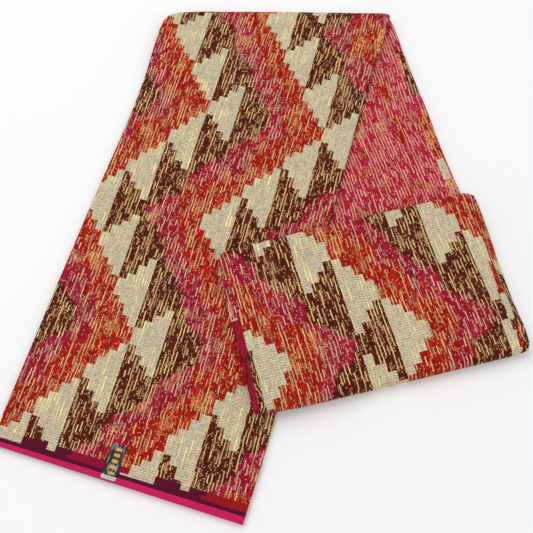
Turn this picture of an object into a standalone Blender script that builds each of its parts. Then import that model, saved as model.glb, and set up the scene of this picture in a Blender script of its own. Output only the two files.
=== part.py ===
"""A brocade dress fabric, folded into a long flat strip that turns back on itself.

The cloth is one sheet. It is folded back and forth into four layers. The strip of layers runs up
from its selvedge, turns under itself at a slanting fold, comes down beside itself, and at its
far end folds up and under again into a short bundle. A thin foil label lies on the selvedge.
Sizes are in metres, +Z is up, and the origin is the middle of the footprint, on the floor.
"""

import math

import bmesh
import bpy
from mathutils import Matrix, Vector

# Driving dimensions of the cloth
CLOTH_THICKNESS = 0.0010
LAYER_COUNT = 4
LAYER_GAP = 0.0005
PASS_GAP = 0.0006
BUNDLE_GAP = 0.0012
LAYER_PITCH = CLOTH_THICKNESS + LAYER_GAP
STACK_HEIGHT = LAYER_COUNT * CLOTH_THICKNESS + (LAYER_COUNT - 1) * LAYER_GAP
PASS_PITCH = STACK_HEIGHT + PASS_GAP

# Inner radii of the three folds that turn the whole strip over
TOP_FOLD_RADIUS = 0.0008
FRONT_FOLD_RADIUS = 0.0017
BACK_FOLD_RADIUS = 0.0008
TOP_FOLD_CORNER = 0.0015
FRONT_FOLD_CORNER = 0.0010
BACK_FOLD_CORNER = 0.0040

# Each pass of the strip is drawn by its two side edges, seen from above
LEFT_LEG_LEFT = [(-0.2350, -0.2016), (-0.2156, -0.1330), (-0.1885, -0.0363), (-0.1637, 0.0498),
                 (-0.1411, 0.1250), (-0.1249, 0.1870), (-0.1160, 0.2300), (-0.1070, 0.2620)]
LEFT_LEG_RIGHT = [(-0.0158, -0.2690), (0.0100, -0.1860), (0.0667, 0.0173), (0.1034, 0.1441),
                  (0.1392, 0.2610)]
RIGHT_LEG_LEFT = [(-0.1010, 0.2620), (-0.0660, 0.1300), (-0.0300, -0.0100), (0.0020, -0.0950),
                  (0.0420, -0.1624)]
RIGHT_LEG_RIGHT = [(0.1398, 0.2610), (0.1468, 0.2360), (0.1663, 0.1561), (0.1878, 0.0713),
                   (0.2005, 0.0220), (0.2250, -0.1168)]
BUNDLE_LEFT = [(-0.0102, -0.1735), (-0.0186, -0.1383), (-0.0315, -0.0857), (-0.0382, -0.0555),
               (-0.0412, -0.0345)]
BUNDLE_RIGHT = [(0.2407, -0.1120), (0.2378, -0.0903), (0.2301, -0.0587), (0.2227, -0.0255),
                (0.2194, -0.0060), (0.2150, 0.0124), (0.2052, 0.0360)]
BUNDLE_DEPTH = 0.142

# The top fold's own outline: it bows outwards, most towards its left end, and has round corners
TOP_LINE = 0.2683
TOP_BOW = 0.0018
TOP_BOW_LEAN = 0.6
TOP_BOW_REACH = 0.060
LEFT_ROUNDING = 0.022
RIGHT_ROUNDING = 0.012
ROUNDING_DEPTH = 0.20

# How far a pass needs to climb onto, or come down from, the cloth beneath it
CLIMB_LENGTH = 0.060
LEG_MARGIN = 0.004
BUNDLE_MARGIN = 0.018
FOLD_SETTLE_LENGTH = 0.040
FRONT_SLOPE_LENGTH = 0.030
FRONT_FILL = 0.46
SIDE_SLOPE = 0.055
SIDE_FADE = 0.030
LEFT_REST = 0.35
SHOULDER_DROOP = 0.0022
TUCK_INSET = 0.019

# Side folds of the layers, and how far each stands in from the edge of the strip
FOLD_STEPS = 4
RIGHT_LEG_COLUMNS = [0.0, 0.05, 0.12, 0.20, 0.32, 0.45, 0.60, 0.75, 0.88, 0.95, 1.0]
BUNDLE_COLUMNS = [0.0, 0.035, 0.07, 0.13, 0.20, 0.30, 0.45, 0.65, 0.93, 0.965, 1.0]
CLIMB_COLUMNS = 4
COLUMN_SPACE = 0.004
FOLD_INSETS = [0.0, 0.0004, 0.0006]
FOLD_PHASES = [0.4, 2.3, 4.1]
FOLD_WANDER = 0.0005
WANDER_TURNS = 21.0
END_SPACE = 0.0008
FOLD_ROOM = 0.0031
BOTTOM_EDGE_INSET = 0.0030
TOP_EDGE_INSET = 0.0004
WEDGE_WIDTH = 0.0120
WEDGE_SHARE = 0.9
RIGHT_STEP_FRONT = 0.0095
RIGHT_STEP_BACK = 0.0020
RIGHT_STEP_START = 0.22
RIGHT_STEP_RISE = 0.16
FRONT_FLARE = 0.56

# Stations along each pass, and turns around each fold
LEFT_LEG_STEPS = 14
RIGHT_LEG_STEPS = 8
BUNDLE_STEPS = 8
TUCK_STEPS = 6
TURN_STEPS = 6

# The foil label on the selvedge
LABEL_WIDTH = 0.0130
LABEL_LENGTH = 0.0300
LABEL_THICKNESS = 0.0004
LABEL_CLEARANCE = 0.0003
LABEL_CORNER = 0.0006
LABEL_CENTRE = (-0.1270, -0.2180)
LABEL_ANGLE = math.radians(-16.2)

SHARP_ANGLE = math.radians(50.0)
FABRIC_COLOUR = (0.36, 0.045, 0.060, 1.0)
LABEL_COLOUR = (0.55, 0.50, 0.38, 1.0)


def smooth(value):
    """Rise from 0 to 1 with level ends, for a value that runs from 0 to 1."""
    value = min(max(value, 0.0), 1.0)
    return value * value * (3.0 - 2.0 * value)


def mix(first, second, share):
    """Blend two numbers or two vectors."""
    return first * (1.0 - share) + second * share


def point_along(points, share):
    """Point on a smooth curve through the given plan points, by its share of the length."""
    corners = [Vector(point) for point in points]
    lengths = [0.0]
    for first, second in zip(corners, corners[1:]):
        lengths.append(lengths[-1] + (second - first).length)
    target = share * lengths[-1]
    index = 0
    while index < len(corners) - 2 and target > lengths[index + 1]:
        index += 1
    span = lengths[index + 1] - lengths[index]
    local = (target - lengths[index]) / span
    before = corners[max(index - 1, 0)]
    start = corners[index]
    end = corners[index + 1]
    after = corners[min(index + 2, len(corners) - 1)]
    start_pull = (end - before) * (span / (end - before).length)
    end_pull = (after - start) * (span / (after - start).length)
    square = local * local
    cube = square * local
    return (start * (2.0 * cube - 3.0 * square + 1.0) + start_pull * (cube - 2.0 * square + local)
            + end * (3.0 * square - 2.0 * cube) + end_pull * (cube - square))


def edge_x(points, y):
    """Where an edge that runs mainly along Y stands at a given Y."""
    ordered = sorted(points, key=lambda point: point[1])
    for first, second in zip(ordered, ordered[1:]):
        if y <= second[1] or second is ordered[-1]:
            share = (y - first[1]) / (second[1] - first[1])
            return mix(first[0], second[0], share)
    return ordered[0][0]


def soften_top(point):
    """Bow the top fold outwards and round its two corners, as seen from above."""
    depth = max(TOP_LINE - point.y, 0.0)
    if depth > TOP_BOW_REACH:
        return point
    left = edge_x(LEFT_LEG_LEFT, point.y)
    right = edge_x(RIGHT_LEG_RIGHT, point.y)
    share = min(max((point.x - left) / (right - left), 0.0), 1.0)
    bow = TOP_BOW * math.sin(math.pi * share ** TOP_BOW_LEAN)
    shift = Vector((0.0, bow * smooth(1.0 - depth / TOP_BOW_REACH), 0.0))
    for side, distance, size in ((1.0, point.x - left, LEFT_ROUNDING),
                                 (-1.0, right - point.x, RIGHT_ROUNDING)):
        near_side = max(1.0 - max(distance, 0.0) / size, 0.0)
        near_top = max(1.0 - depth / size, 0.0)
        pull = ROUNDING_DEPTH * size * (near_side * near_top) ** 2
        shift += Vector((side * pull, -pull, 0.0))
    return point + shift


def climb(distance, margin):
    """Share of the full climb, for a signed distance past the edge that is climbed."""
    return smooth((distance + margin + CLIMB_LENGTH) / CLIMB_LENGTH)


def past_right_leg(x, y):
    """Distance of a point past the right leg's left edge."""
    return x - edge_x(RIGHT_LEG_LEFT, y)


def legs_top(x, y):
    """Height of the two crossing legs, smoothed as a soft layer bridges it."""
    inside_left_leg = edge_x(LEFT_LEG_RIGHT, y) - x
    lifted = climb(past_right_leg(x, y), BUNDLE_MARGIN) * climb(inside_left_leg, BUNDLE_MARGIN)
    return STACK_HEIGHT + PASS_PITCH * lifted


def left_leg_base(x, y, share, along):
    """Underside of the left leg: on the floor, or lifted over the right leg."""
    fold_y = RIGHT_LEG_LEFT[0][1]
    near_fold = smooth(1.0 - (fold_y - y) / FOLD_SETTLE_LENGTH)
    lifted = 1.0 - (1.0 - climb(past_right_leg(x, y), LEG_MARGIN)) * (1.0 - near_fold)
    bulge = (2.0 * TOP_FOLD_RADIUS - PASS_GAP) * near_fold
    return PASS_PITCH * lifted + bulge


def right_leg_top(x, y, share, along):
    """Upper face of the right leg, which lies flat on the floor."""
    return STACK_HEIGHT


def tuck_top(x, y, share, along):
    """Upper face of the tucked end inside the bundle."""
    return legs_top(x, y) + BUNDLE_GAP + STACK_HEIGHT


def bundle_base(x, y, share, along):
    """Underside of the bundle's upper panel, which lies over the legs and the tucked end.

    Its sides slope down beside the tucked end, but not where the folds hold them up.
    """
    free = smooth(along / SIDE_FADE) * smooth((BUNDLE_DEPTH - along) / SIDE_FADE)
    left_slope = mix(1.0, mix(LEFT_REST, 1.0, smooth(share / SIDE_SLOPE)), free)
    right_slope = mix(1.0, smooth((1.0 - share) / SIDE_SLOPE), free)
    front_slope = mix(FRONT_FILL, 1.0, smooth(along / FRONT_SLOPE_LENGTH))
    bulge = 2.0 * BACK_FOLD_RADIUS - PASS_GAP
    bulge *= smooth(1.0 - (BUNDLE_DEPTH - along) / FOLD_SETTLE_LENGTH)
    fill = (PASS_PITCH + bulge) * front_slope * left_slope * right_slope
    droop = SHOULDER_DROOP * (1.0 - right_slope)
    return legs_top(x, y) + BUNDLE_GAP + fill - droop


class Station:
    """One line across the strip, with the way its stack of layers stands there."""

    def __init__(self, left, right, columns, along):
        self.left = left
        self.right = right
        self.columns = columns
        self.along = along
        self.upward = 1.0
        self.side_inset = 0.0
        self.top_inset = 0.0
        self.fold_inset = 0.0

    def lie(self, inner_face, upward):
        """Lie flat: the stack's inner face is at a height, and it rises or hangs from there."""
        self.place = self.place_flat
        self.inner_face = inner_face
        self.upward = upward
        return self

    def turn_over(self, circle, angle, outward, radius):
        """Stand somewhere around a fold."""
        self.place = self.place_round
        self.circle = circle
        self.angle = angle
        self.outward = outward
        self.radius = radius
        return self

    def place_flat(self, share, rise):
        """World point for a share of the width and a height in the stack."""
        flat = mix(self.left, self.right, share)
        face = self.inner_face(flat.x, flat.y, share, self.along)
        return Vector((flat.x, flat.y, face + self.upward * rise))

    def place_round(self, share, rise):
        """The same on a fold, which is round in plan and as tall as its place needs."""
        flat = mix(self.left, self.right, share)
        low, high = self.circle(flat.x, flat.y, share)
        spot = flat + self.outward * ((self.radius + rise) * math.cos(self.angle))
        height = (low + high) / 2.0 + ((high - low) / 2.0 + rise) * math.sin(self.angle)
        return Vector((spot.x, spot.y, height))


def crossing_share(left, right):
    """Where a line across the left leg meets the right leg's left edge below it."""
    low = -1.0
    high = 2.0
    for _ in range(30):
        middle = (low + high) / 2.0
        point = mix(left, right, middle)
        if past_right_leg(point.x, point.y) < 0.0:
            low = middle
        else:
            high = middle
    return low


def left_leg_columns(left, right):
    """Columns of the left leg, which crowd where it climbs onto the right leg."""
    width = (right - left).length
    crossing = crossing_share(left, right)
    climbs = []
    for step in range(CLIMB_COLUMNS):
        distance = LEG_MARGIN + CLIMB_LENGTH * (1.0 - step / (CLIMB_COLUMNS - 1))
        climbs.append(crossing - distance / width)
    count = len(BUNDLE_COLUMNS)
    before = (count - CLIMB_COLUMNS) // 2
    columns = [climbs[0] * step / before for step in range(before)]
    columns += climbs
    after = count - before - CLIMB_COLUMNS
    columns += [mix(climbs[-1], 1.0, (step + 1) / after) for step in range(after)]
    columns[0] = 0.0
    columns[-1] = 1.0
    space = COLUMN_SPACE / width
    for index in range(1, count):
        columns[index] = max(columns[index], columns[index - 1] + space)
    columns[-1] = 1.0
    for index in range(count - 2, 0, -1):
        columns[index] = min(columns[index], columns[index + 1] - space)
    return columns


def mix_columns(first, second, share):
    """Blend two lists of columns."""
    return [mix(one, other, share) for one, other in zip(first, second)]


def left_leg_stations():
    """The left leg, from the selvedge to the top fold."""
    stations = []
    for step in range(LEFT_LEG_STEPS + 1):
        share = step / LEFT_LEG_STEPS
        left = point_along(LEFT_LEG_LEFT, share)
        right = point_along(LEFT_LEG_RIGHT, share)
        station = Station(left, right, left_leg_columns(left, right), share)
        stations.append(station.lie(left_leg_base, 1.0))
    return stations


def right_leg_stations():
    """The right leg, from the top fold to the front of the bundle."""
    stations = []
    for step in range(RIGHT_LEG_STEPS + 1):
        share = step / RIGHT_LEG_STEPS
        left = point_along(RIGHT_LEG_LEFT, share)
        right = point_along(RIGHT_LEG_RIGHT, share)
        columns = mix_columns(RIGHT_LEG_COLUMNS, BUNDLE_COLUMNS, smooth(share))
        stations.append(Station(left, right, columns, 1.1 + share).lie(right_leg_top, -1.0))
    return stations


def bundle_station(step):
    """A line across the bundle, counted from its front."""
    share = step / BUNDLE_STEPS
    left = point_along(BUNDLE_LEFT, share)
    right = point_along(BUNDLE_RIGHT, share)
    return Station(left, right, BUNDLE_COLUMNS, share * BUNDLE_DEPTH)


def bundle_stations():
    """The bundle's upper panel, from front to back, with the layer below it standing out."""
    stations = []
    for step in range(BUNDLE_STEPS + 1):
        share = step / BUNDLE_STEPS
        station = bundle_station(step).lie(bundle_base, 1.0)
        station.top_inset = WEDGE_WIDTH * (1.0 - smooth(share / WEDGE_SHARE))
        rise = mix(RIGHT_STEP_START, 1.0, smooth(share / RIGHT_STEP_RISE))
        station.fold_inset = rise * mix(RIGHT_STEP_FRONT, RIGHT_STEP_BACK, share)
        stations.append(station)
    return stations


def tuck_stations():
    """The tucked end inside the bundle, from its back towards its front."""
    stations = []
    for step in range(TUCK_STEPS + 1):
        station = bundle_station(BUNDLE_STEPS - step).lie(tuck_top, -1.0)
        station.side_inset = TUCK_INSET
        stations.append(station)
    return stations


def fold_stations(before, after, outward, circle, radius, downward, flare, corner):
    """Stations around a fold, between the last line of one pass and the first of the next."""
    stations = []
    for step in range(1, TURN_STEPS):
        share = step / TURN_STEPS
        angle = math.pi * (share - 0.5)
        if downward:
            angle = -angle
        shift = smooth((share - 0.5) / flare + 0.5)
        columns = mix_columns(before.columns, after.columns, shift)
        left = mix(before.left, after.left, shift)
        right = mix(before.right, after.right, shift)
        inward = (right - left).normalized() * (corner * math.cos(angle))
        station = Station(left + inward, right - inward, columns, before.along)
        station.side_inset = mix(before.side_inset, after.side_inset, shift)
        station.top_inset = mix(before.top_inset, after.top_inset, shift)
        station.fold_inset = mix(before.fold_inset, after.fold_inset, shift)
        stations.append(station.turn_over(circle, angle, outward, radius))
    return stations


def square_to(station, sign):
    """Plan direction square to a line, pointing out of a fold."""
    along = (station.right - station.left).normalized()
    return Vector((-along.y, along.x)) * sign


def strip_stations():
    """All the stations, from the selvedge to the tucked end."""
    left_leg = left_leg_stations()
    right_leg = right_leg_stations()
    bundle = bundle_stations()
    tuck = tuck_stations()

    def top_circle(x, y, share):
        return STACK_HEIGHT, STACK_HEIGHT + 2.0 * TOP_FOLD_RADIUS

    def front_circle(x, y, share):
        return STACK_HEIGHT, bundle_base(x, y, share, 0.0)

    def back_circle(x, y, share):
        return tuck_top(x, y, share, 0.0), bundle_base(x, y, share, BUNDLE_DEPTH)

    top_fold = fold_stations(left_leg[-1], right_leg[0], square_to(left_leg[-1], 1.0),
                             top_circle, TOP_FOLD_RADIUS, True, 1.0, TOP_FOLD_CORNER)
    front_fold = fold_stations(right_leg[-1], bundle[0], square_to(bundle[0], -1.0),
                               front_circle, FRONT_FOLD_RADIUS, False, FRONT_FLARE,
                               FRONT_FOLD_CORNER)
    back_fold = fold_stations(bundle[-1], tuck[0], square_to(bundle[-1], 1.0),
                              back_circle, BACK_FOLD_RADIUS, True, 1.0, BACK_FOLD_CORNER)
    return left_leg + top_fold + right_leg + front_fold + bundle + back_fold + tuck


def side_insets(station):
    """How far the strip's side folds, then its bottom and top free edges, stand in."""
    insets = []
    for inset, phase in zip(FOLD_INSETS, FOLD_PHASES):
        wander = FOLD_WANDER * (1.0 + math.sin(WANDER_TURNS * station.along + phase))
        insets.append(station.side_inset + inset + wander)
    insets[-1] += station.fold_inset
    bottom_edge = station.side_inset + BOTTOM_EDGE_INSET
    top_edge = station.side_inset + TOP_EDGE_INSET + station.top_inset
    return insets, bottom_edge, top_edge


def layer_columns(station, low, high):
    """Places of the columns across one layer, between its own two ends."""
    width = (station.right - station.left).length
    places = [share * width for share in station.columns]
    if station.fold_inset > 0.0:
        places[-2] = width - station.fold_inset - FOLD_ROOM
    places[0] = low
    places[-1] = width - high
    for index in range(1, len(places) - 1):
        places[index] = max(places[index], places[index - 1] + END_SPACE)
    for index in range(len(places) - 2, 0, -1):
        places[index] = min(places[index], places[index + 1] - END_SPACE)
    return places


def layer_section(station):
    """Centre line of the layers at a station: place across, rise, its normal and its layer."""
    half_pitch = LAYER_PITCH / 2.0
    width = (station.right - station.left).length
    folds, bottom_edge, top_edge = side_insets(station)
    reach = CLOTH_THICKNESS / 2.0 + half_pitch
    ends = [bottom_edge] + [reach + fold for fold in folds] + [top_edge]
    points = []
    for layer in range(LAYER_COUNT):
        rise = CLOTH_THICKNESS / 2.0 + layer * LAYER_PITCH
        goes_right = layer % 2 == 0
        low, high = (ends[layer], ends[layer + 1]) if goes_right else (ends[layer + 1], ends[layer])
        places = layer_columns(station, low, high)
        side = 1.0 if goes_right else -1.0
        if not goes_right:
            places.reverse()
        points += [(across, rise, 0.0, side) for across in places]
        if layer < LAYER_COUNT - 1:
            centre = places[-1]
            for step in range(1, FOLD_STEPS):
                angle = math.pi * (step / FOLD_STEPS - 0.5)
                across = centre + side * half_pitch * math.cos(angle)
                lift = rise + half_pitch + half_pitch * math.sin(angle)
                points.append((across, lift, -math.cos(angle), -side * math.sin(angle)))
    return points


def two_sided_row(station, vertices):
    """Add a station's points on both faces of the sheet, and return their numbers."""
    width = (station.right - station.left).length
    half = CLOTH_THICKNESS / 2.0
    row = []
    for across, rise, across_normal, rise_normal in layer_section(station):
        pair = []
        for side in (half, -half):
            pair.append(len(vertices))
            share = (across + side * across_normal) / width
            vertices.append(soften_top(station.place(share, rise + side * rise_normal)))
        row.append(pair)
    return row


def cloth_mesh():
    """The folded sheet, as one closed skin around its centre surface.

    Every layer is split along the same diagonals, so layers that lie together stay parallel.
    """
    vertices = []
    stations = strip_stations()
    rows = [two_sided_row(station, vertices) for station in stations]
    run = len(BUNDLE_COLUMNS) + FOLD_STEPS - 1
    faces = []
    for station, row, following in zip(stations, rows, rows[1:]):
        for index in range(len(row) - 1):
            goes_right = (index // run) % 2 == (0 if station.upward > 0.0 else 1)
            for side, flip in ((0, False), (1, True)):
                near = row[index][side]
                far = row[index + 1][side]
                next_near = following[index][side]
                next_far = following[index + 1][side]
                if goes_right:
                    pair = [(near, far, next_far), (near, next_far, next_near)]
                else:
                    pair = [(near, far, next_near), (far, next_far, next_near)]
                for corners in pair:
                    faces.append(tuple(reversed(corners)) if flip else corners)
        faces.append((row[0][0], following[0][0], following[0][1], row[0][1]))
        faces.append((row[-1][0], row[-1][1], following[-1][1], following[-1][0]))
    for first, last in zip(zip(rows[0], rows[0][1:]), zip(rows[-1], rows[-1][1:])):
        faces.append((first[0][0], first[0][1], first[1][1], first[1][0]))
        faces.append((last[0][0], last[1][0], last[1][1], last[0][1]))
    mesh = bpy.data.meshes.new("folded_cloth")
    mesh.from_pydata(vertices, [], faces)
    mesh.update()
    return mesh


def label_mesh():
    """The foil label: a thin plate with rounded corners."""
    mesh = bpy.data.meshes.new("foil_label")
    shape = bmesh.new()
    size = (LABEL_WIDTH, LABEL_LENGTH, LABEL_THICKNESS)
    bmesh.ops.create_cube(shape, size=1.0, matrix=Matrix.Diagonal((*size, 1.0)))
    upright = []
    for edge in shape.edges:
        rise = abs(edge.verts[0].co.z - edge.verts[1].co.z)
        if rise > LABEL_THICKNESS / 2.0:
            upright.append(edge)
    bmesh.ops.bevel(shape, geom=upright, offset=LABEL_CORNER, segments=2, affect="EDGES")
    shape.to_mesh(mesh)
    shape.free()
    return mesh


def plain_material(name, colour, roughness, metallic):
    """A plain Principled material."""
    material = bpy.data.materials.new(name)
    material.use_nodes = True
    shader = material.node_tree.nodes["Principled BSDF"]
    shader.inputs["Base Color"].default_value = colour
    shader.inputs["Roughness"].default_value = roughness
    shader.inputs["Metallic"].default_value = metallic
    return material


def add_object(name, mesh, material, location, turn=0.0):
    """Put a mesh in the scene as an object of its own."""
    mesh.materials.append(material)
    thing = bpy.data.objects.new(name, mesh)
    thing.location = location
    thing.rotation_euler = (0.0, 0.0, turn)
    bpy.context.scene.collection.objects.link(thing)
    return thing


def footprint_middle(mesh):
    """Middle of a mesh's box, seen from above."""
    xs = [vertex.co.x for vertex in mesh.vertices]
    ys = [vertex.co.y for vertex in mesh.vertices]
    return Vector(((min(xs) + max(xs)) / 2.0, (min(ys) + max(ys)) / 2.0, 0.0))


def main():
    """Build the cloth and its label."""
    for thing in list(bpy.data.objects):
        bpy.data.objects.remove(thing, do_unlink=True)
    cloth = cloth_mesh()
    middle = footprint_middle(cloth)
    cloth.transform(Matrix.Translation(-middle))
    cloth.shade_smooth()
    cloth.set_sharp_from_angle(angle=SHARP_ANGLE)
    fabric = plain_material("brocade", FABRIC_COLOUR, 0.75, 0.0)
    foil = plain_material("foil", LABEL_COLOUR, 0.35, 0.7)
    add_object("folded_cloth", cloth, fabric, (0.0, 0.0, 0.0))
    height = STACK_HEIGHT + LABEL_CLEARANCE + LABEL_THICKNESS / 2.0
    spot = Vector((LABEL_CENTRE[0], LABEL_CENTRE[1], height)) - middle
    add_object("foil_label", label_mesh(), foil, spot, LABEL_ANGLE)


main()
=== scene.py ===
import math
from functools import partialmethod

import bmesh
import bpy
from mathutils import Matrix, Vector


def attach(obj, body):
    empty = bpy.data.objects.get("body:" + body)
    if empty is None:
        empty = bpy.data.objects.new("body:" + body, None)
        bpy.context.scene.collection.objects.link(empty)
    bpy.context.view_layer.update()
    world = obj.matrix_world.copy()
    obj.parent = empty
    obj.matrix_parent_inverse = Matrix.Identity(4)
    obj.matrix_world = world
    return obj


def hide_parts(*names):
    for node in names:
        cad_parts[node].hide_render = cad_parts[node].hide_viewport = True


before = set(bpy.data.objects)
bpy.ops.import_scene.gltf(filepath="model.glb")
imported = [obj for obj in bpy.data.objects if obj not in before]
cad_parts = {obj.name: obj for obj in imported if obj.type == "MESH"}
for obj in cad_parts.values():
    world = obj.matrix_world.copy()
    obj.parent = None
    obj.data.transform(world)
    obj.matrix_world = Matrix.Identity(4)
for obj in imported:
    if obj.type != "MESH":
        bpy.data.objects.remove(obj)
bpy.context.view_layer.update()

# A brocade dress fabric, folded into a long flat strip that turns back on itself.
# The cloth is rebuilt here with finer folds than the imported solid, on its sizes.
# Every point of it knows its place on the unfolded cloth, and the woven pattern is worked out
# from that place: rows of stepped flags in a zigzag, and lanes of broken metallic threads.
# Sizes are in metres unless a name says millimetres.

# The cloth and its layers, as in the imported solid
CLOTH_THICKNESS = 0.0010
LAYER_COUNT = 4
LAYER_GAP = 0.0005
PASS_GAP = 0.0006
BUNDLE_GAP = 0.0012
LAYER_PITCH = CLOTH_THICKNESS + LAYER_GAP
STACK_HEIGHT = LAYER_COUNT * CLOTH_THICKNESS + (LAYER_COUNT - 1) * LAYER_GAP
PASS_PITCH = STACK_HEIGHT + PASS_GAP
TOP_FOLD_RADIUS = 0.0008
FRONT_FOLD_RADIUS = 0.0017
BACK_FOLD_RADIUS = 0.0008
TOP_FOLD_CORNER = 0.0015
FRONT_FOLD_CORNER = 0.0010
BACK_FOLD_CORNER = 0.0040

# Side edges of each pass of the strip, seen from above
LEFT_LEG_LEFT = [(-0.2350, -0.2016), (-0.2156, -0.1330), (-0.1885, -0.0363), (-0.1637, 0.0498),
                 (-0.1411, 0.1250), (-0.1249, 0.1870), (-0.1160, 0.2300), (-0.1070, 0.2620)]
LEFT_LEG_RIGHT = [(-0.0158, -0.2690), (0.0100, -0.1860), (0.0667, 0.0173), (0.1034, 0.1441),
                  (0.1392, 0.2610)]
RIGHT_LEG_LEFT = [(-0.1010, 0.2620), (-0.0660, 0.1300), (-0.0300, -0.0100), (0.0020, -0.0950),
                  (0.0420, -0.1624)]
RIGHT_LEG_RIGHT = [(0.1398, 0.2610), (0.1468, 0.2360), (0.1663, 0.1561), (0.1878, 0.0713),
                   (0.2005, 0.0220), (0.2250, -0.1168)]
BUNDLE_LEFT = [(-0.0102, -0.1735), (-0.0186, -0.1383), (-0.0315, -0.0857), (-0.0382, -0.0555),
               (-0.0412, -0.0345)]
BUNDLE_RIGHT = [(0.2407, -0.1120), (0.2378, -0.0903), (0.2301, -0.0587), (0.2227, -0.0255),
                (0.2194, -0.0060), (0.2150, 0.0124), (0.2052, 0.0360)]
BUNDLE_DEPTH = 0.142

# The top fold's own outline: it bows outwards, most towards its left end, and has round corners
TOP_LINE = 0.2683
TOP_BOW = 0.0018
TOP_BOW_LEAN = 0.6
TOP_BOW_REACH = 0.060
LEFT_ROUNDING = 0.022
RIGHT_ROUNDING = 0.012
ROUNDING_DEPTH = 0.20

# How a pass climbs onto, or comes down from, the cloth beneath it
CLIMB_LENGTH = 0.060
LEG_MARGIN = 0.004
BUNDLE_MARGIN = 0.018
FOLD_SETTLE_LENGTH = 0.040
FRONT_SLOPE_LENGTH = 0.030
FRONT_FILL = 0.46
SIDE_SLOPE = 0.055
SIDE_FADE = 0.030
LEFT_REST = 0.35
SHOULDER_DROOP = 0.0022
TUCK_INSET = 0.019

# Side folds of the layers, how far each stands in from the edge of the strip, and how that
# wanders along the legs
FOLD_INSETS = [0.0, 0.0004, 0.0006]
FOLD_PHASES = [0.4, 2.3, 4.1]
FOLD_WANDER = 0.0005
WANDER_TURNS = 21.0
WANDER_RIGHT_LEG = 1.1
BOTTOM_EDGE_INSET = 0.0030
TOP_EDGE_INSET = 0.0004
WEDGE_WIDTH = 0.0120
WEDGE_SHARE = 0.9
RIGHT_STEP_FRONT = 0.0095
RIGHT_STEP_BACK = 0.0020
RIGHT_STEP_START = 0.22
RIGHT_STEP_RISE = 0.16

# Where round a fold the strip takes on its new width: middle and length, as shares of the turn
FRONT_FLARE = (0.44, 0.36)
WHOLE_TURN = (0.5, 1.0)

# Fineness of the mesh: columns across a layer, turns of its side folds, stations along a pass
COLUMN_COUNT = 38
EDGE_CROWDING = 0.86
FOLD_STEPS = 6
LEFT_LEG_STEPS = 62
RIGHT_LEG_STEPS = 40
BUNDLE_STEPS = 26
TUCK_STEPS = 12
TUCK_REACH = 0.75
TURN_STEPS = 10
SHARP_ANGLE = math.radians(50.0)

# Soft unevenness of the layers, which fades out on the floor side
RIPPLE_HEIGHT = 0.00022
RIPPLE_START = 0.15
RIPPLE_TURNS = (47.0, 83.0, 131.0)
RIPPLE_WEIGHTS = (0.5, 0.3, 0.2)
RIPPLE_SWAY = 1.3
RIPPLE_LEANS = (0.4, 0.5)
RIPPLE_PHASES = (0.7, 2.1)

# Where the pattern lies: on the legs by the strip's lower left corner, on the bundle turned round
LEG_CORNER = Vector((-0.2370, -0.2068))
LEG_TILT = math.radians(-16.08)
FOLD_Y = 0.2665
BUNDLE_CORNER = Vector((-0.0089, -0.1816))
BUNDLE_TILT = math.radians(14.67)
BUNDLE_STRETCH = (1.075, 1.109)
BUNDLE_START = (0.1113, 1.8159)

# The foil label on the selvedge
LABEL_WIDTH = 0.0130
LABEL_LENGTH = 0.0300
LABEL_THICKNESS = 0.0004
LABEL_CLEARANCE = 0.0003
LABEL_CORNER = 0.0006
LABEL_CORNER_STEPS = 3
LABEL_CENTRE = (-0.1270, -0.2180)
LABEL_ANGLE = math.radians(-16.2)

# The camera, as the photograph was taken
CAMERA_TARGET = Vector((0.0032, -0.0326, 0.0))
CAMERA_DISTANCE = 0.7632
CAMERA_ELEVATION = math.radians(66.0)
SENSOR = 36.0
LENS = 54.04
NEAREST = 0.01


def smooth(value):
    """Rise from 0 to 1 with level ends, for a value that runs from 0 to 1."""
    value = min(max(value, 0.0), 1.0)
    return value * value * (3.0 - 2.0 * value)


def mix(first, second, share):
    """Blend two numbers or two vectors."""
    return first * (1.0 - share) + second * share


def point_along(points, share):
    """Point on a smooth curve through the given plan points, by its share of the length."""
    corners = [Vector(point) for point in points]
    lengths = [0.0]
    for first, second in zip(corners, corners[1:]):
        lengths.append(lengths[-1] + (second - first).length)
    target = share * lengths[-1]
    index = 0
    while index < len(corners) - 2 and target > lengths[index + 1]:
        index += 1
    span = lengths[index + 1] - lengths[index]
    local = (target - lengths[index]) / span
    before = corners[max(index - 1, 0)]
    start = corners[index]
    end = corners[index + 1]
    after = corners[min(index + 2, len(corners) - 1)]
    start_pull = (end - before) * (span / (end - before).length)
    end_pull = (after - start) * (span / (after - start).length)
    square = local * local
    cube = square * local
    return (start * (2.0 * cube - 3.0 * square + 1.0) + start_pull * (cube - 2.0 * square + local)
            + end * (3.0 * square - 2.0 * cube) + end_pull * (cube - square))


def edge_x(points, y):
    """Where an edge that runs mainly along Y stands at a given Y."""
    ordered = sorted(points, key=lambda point: point[1])
    for first, second in zip(ordered, ordered[1:]):
        if y <= second[1] or second is ordered[-1]:
            share = (y - first[1]) / (second[1] - first[1])
            return mix(first[0], second[0], share)
    return ordered[0][0]


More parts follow.
